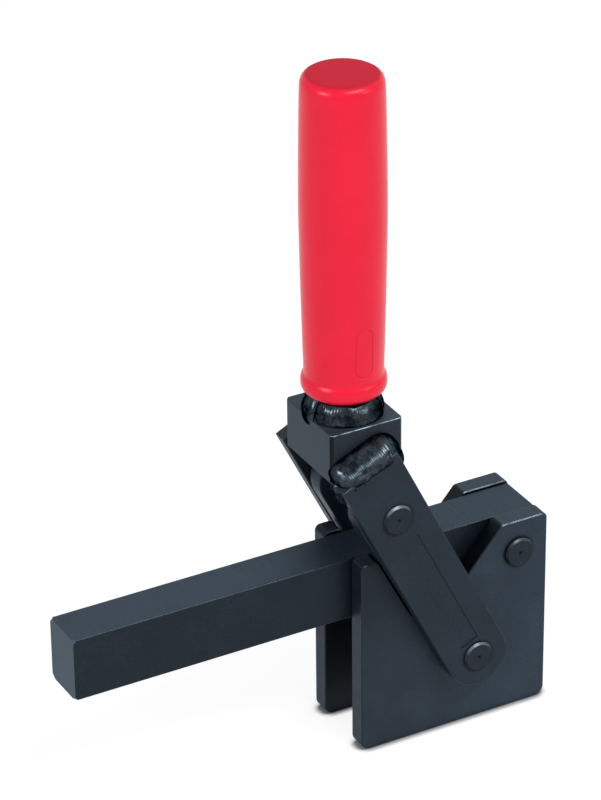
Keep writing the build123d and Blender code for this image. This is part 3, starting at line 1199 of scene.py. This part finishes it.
@dataclass
class SteelWork:
    """The frame's own steel pieces, each given its finish."""

    nodes: dict[str, bpy.types.Object]
    flat_plates: tuple[str, ...] = (
        "side_plate_left", "side_plate_right", "handle_plate_left", "handle_plate_right", "link_left", "link_right",
    )
    # colours of the pins' upper bevels: rubbing with a painted highlight
    dull_pin_highlight: Colour = (0.055, 0.070, 0.085)
    rubbed_pin_highlight: Colour = (0.130, 0.160, 0.190)
    through_pins: tuple[str, ...] = ("arm_pivot_pin", "handle_pivot_pin", "link_pin")
    toggle_pins: tuple[str, ...] = ("toggle_pin_middle", "toggle_pin_end_left", "toggle_pin_end_right")

    def build(self) -> None:
        """Dresses every steel piece that stays as the frame has it."""
        axes = {name: tuple(sum(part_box(name), Vector()) / 2) for name in self.through_pins}
        # the factors below paint light and shade: by facing on every piece, and on the side plates painted shade on
        # cut faces, inner faces, round the pin and at the front top corner, with painted light towards the rear
        plate = BlackenedSteel(
            "blackened_plate",
            facing_shading=(0.35, 1.15, 1.0),
            cut_face_shade=0.85,
            shaded_inner_face=13.5 * MM,
            rear_light_gain=0.14,
            front_shade=0.35,
            pins=(axes["arm_pivot_pin"],),
        ).build()
        lever = BlackenedSteel(
            "blackened_lever_plate",
            oxide=(0.0175, 0.0265, 0.0380),
            facing_shading=(0.5, 1.0, 0.8),
            worn_and_highlight=(0.05, 0.068, 0.085),
            pins=(axes["handle_pivot_pin"], axes["link_pin"]),
        ).build()
        bar = BlackenedSteel(
            "blackened_bar",
            EdgeKind.LONG_BAR,
            oxide=(0.0115, 0.0185, 0.0270),
            facing_shading=(1.8, 0.97, 1.65),
            worn_and_highlight=(0.022, 0.032, 0.042),
        ).build()
        block = BlackenedSteel(
            "blackened_block",
            EdgeKind.UPRIGHT_BLOCK,
            oxide=(0.0150, 0.0210, 0.0290),
            facing_shading=(1.15, 1.4, 1.65),
            worn_and_highlight=(0.22, 0.28, 0.34),
            streak_axis="Z",
            cut_face_shade=0.8,
        ).build()
        bright = BrightSteel("bright_turned_steel").build()
        for name, node in self.nodes.items():
            if name in self.flat_plates:
                self.dress(node, plate if name.startswith("side_plate") else lever)
            elif name == "clamping_arm":
                self.dress(node, bar)
            elif name == "handle_block":
                self.edged_copy(name, "handle", block)
            elif name in self.through_pins + self.toggle_pins:
                low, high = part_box(name)
                worn_and_highlight = self.dull_pin_highlight if name == "arm_pivot_pin" else self.rubbed_pin_highlight
                self.dress(node, TurnedSteel("turned_" + name, tuple((low + high) / 2), worn_and_highlight=worn_and_highlight).build())
            elif any(word in name for word in ("bush", "sleeve", "washer", "pipe")):
                self.dress(node, bright)

    def edged_copy(self, name: str, body: str, finish: bpy.types.Material, edge: float = 0.45 * MM) -> None:
        """Stands a copy with rounded edges in for a node.

        Args:
            name: The node's name.
            body: The body that it moves with.
            finish: Its material.
            edge: The width of its rounded edges.
        """
        mesh = self.nodes[name].data.copy()
        shape = bmesh.new()
        shape.from_mesh(mesh)
        bmesh.ops.remove_doubles(shape, verts=shape.verts, dist=0.001 * MM)
        flat = math.radians(1.0)
        bmesh.ops.dissolve_limit(shape, angle_limit=flat, verts=shape.verts, edges=shape.edges)
        shape.to_mesh(mesh)
        shape.free()
        mesh.materials.clear()
        mesh.materials.append(finish)
        piece = placed(name + "_edged", mesh)
        bevel = piece.modifiers.new("rounded_edges", "BEVEL")
        bevel.width = edge
        bevel.segments = 3
        bevel.limit_method = "ANGLE"
        bevel.angle_limit = math.radians(30.0)
        bevel.harden_normals = True
        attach(piece, body)
        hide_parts(name)

    @staticmethod
    def dress(node: bpy.types.Object, finish: bpy.types.Material) -> None:
        """Puts a finish in each of a node's material slots."""
        for slot in node.material_slots:
            slot.material = finish
        log.info("dressed %s in %s", node.name, finish.name)


@dataclass
class Studio:
    """The white sweep, the soft lamps and the camera."""

    camera_place: Point = (-0.86752, -1.45707, 1.11944)
    camera_azimuth: float = -28.61
    camera_elevation: float = 29.14
    camera_roll: float = -0.63
    focal_pixels: float = 3991.45
    picture_height: float = 800.0
    sensor: float = 36.0
    ambient: float = 0.4

    def build(self) -> None:
        """Sets up the whole studio."""
        self.floor()
        self.world()
        self.lamp("left_softbox", (-2.0, -0.3, 1.15), (0.6, 0.6), 21.0)
        self.lamp("right_softbox", (1.35, -1.8, 1.2), (0.6, 0.6), 8.0)
        self.lamp("overhead_softbox", (0.36, -1.25, 1.95), (1.3, 0.42), 32.0)
        self.camera()
        bpy.context.scene.view_settings.view_transform = "Standard"

    def floor(self) -> None:
        """Lays the white floor under the clamp."""
        reach = 4.0
        points = [(-reach, -reach, 0.0), (reach, -reach, 0.0), (reach, reach, 0.0), (-reach, reach, 0.0)]
        piece = placed("white_floor", mesh_of("white_floor", points, [(0, 1, 2, 3)]))
        piece.data.materials.append(WhiteFloor("white_floor").build())

    def world(self) -> None:
        """Makes the surroundings white where they are seen or mirrored, and softer as a light."""
        world = bpy.data.worlds.new("white_room")
        bpy.context.scene.world = world
        world.use_nodes = True
        tree = world.node_tree
        tree.nodes.clear()
        path = tree.nodes.new("ShaderNodeLightPath")
        seen = tree.nodes.new("ShaderNodeMath")
        seen.operation = "MAXIMUM"
        tree.links.new(path.outputs["Is Camera Ray"], seen.inputs[0])
        mirrored = tree.nodes.new("ShaderNodeMath")
        mirrored.operation = "MAXIMUM"
        tree.links.new(path.outputs["Is Glossy Ray"], mirrored.inputs[0])
        tree.links.new(path.outputs["Is Transmission Ray"], mirrored.inputs[1])
        tree.links.new(mirrored.outputs[0], seen.inputs[1])
        level = tree.nodes.new("ShaderNodeMapRange")
        level.inputs["To Min"].default_value = self.ambient
        level.inputs["To Max"].default_value = 1.0
        tree.links.new(seen.outputs[0], level.inputs["Value"])
        light = tree.nodes.new("ShaderNodeBackground")
        light.inputs["Color"].default_value = (1.0, 1.0, 1.0, 1.0)
        tree.links.new(level.outputs[0], light.inputs["Strength"])
        end = tree.nodes.new("ShaderNodeOutputWorld")
        tree.links.new(light.outputs[0], end.inputs["Surface"])

    @staticmethod
    def lamp(name: str, place: Point, size: tuple[float, float], power: float) -> None:
        """Hangs one soft lamp that looks at the middle of the clamp.

        Args:
            name: The lamp's name.
            place: Where it hangs.
            size: Its width and height.
            power: Its power in watts.
        """
        target = (0.0, 0.0, 0.2)
        data = bpy.data.lights.new(name, "AREA")
        data.shape = "RECTANGLE"
        data.size, data.size_y = size
        data.energy = power
        lamp = bpy.data.objects.new(name, data)
        lamp.location = place
        lamp.rotation_euler = (Vector(target) - Vector(place)).to_track_quat("-Z", "Y").to_euler()
        bpy.context.scene.collection.objects.link(lamp)

    def camera(self) -> None:
        """Puts the camera where the picture was taken from."""
        azimuth, elevation, roll = (
            math.radians(angle) for angle in (self.camera_azimuth, self.camera_elevation, self.camera_roll)
        )
        back = Vector((
            math.sin(azimuth) * math.cos(elevation), -math.cos(azimuth) * math.cos(elevation), math.sin(elevation),
        ))
        right = Vector((math.cos(azimuth), math.sin(azimuth), 0.0))
        up = back.cross(right)
        turned_right = right * math.cos(roll) + up * math.sin(roll)
        turned_up = up * math.cos(roll) - right * math.sin(roll)
        data = bpy.data.cameras.new("camera")
        data.sensor_width = self.sensor
        data.lens = self.focal_pixels / self.picture_height * self.sensor
        data.clip_start = 0.1
        data.clip_end = 20.0
        camera = bpy.data.objects.new("camera", data)
        axes = Matrix((turned_right, turned_up, back)).transposed()
        camera.matrix_world = Matrix.Translation(self.camera_place) @ axes.to_4x4()
        bpy.context.scene.collection.objects.link(camera)
        bpy.context.scene.camera = camera


def main() -> None:
    """Builds and dresses the clamp, piece by piece."""
    logging.basicConfig(level=logging.INFO, format="%(name)s: %(message)s")
    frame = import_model()
    SteelWork(frame["nodes"]).build()
    grip = HandGrip().build(MouldedGrip("red_plastic").build())
    log.info("made %s with %d faces", grip.name, len(grip.data.polygons))
    for weld in HandleWelds(WeldTrees()).build(WeldMetal("weld_metal").build()):
        log.info("made %s with %d faces", weld.name, len(weld.data.polygons))
    Studio().build()


if __name__ == "__main__":
    main()
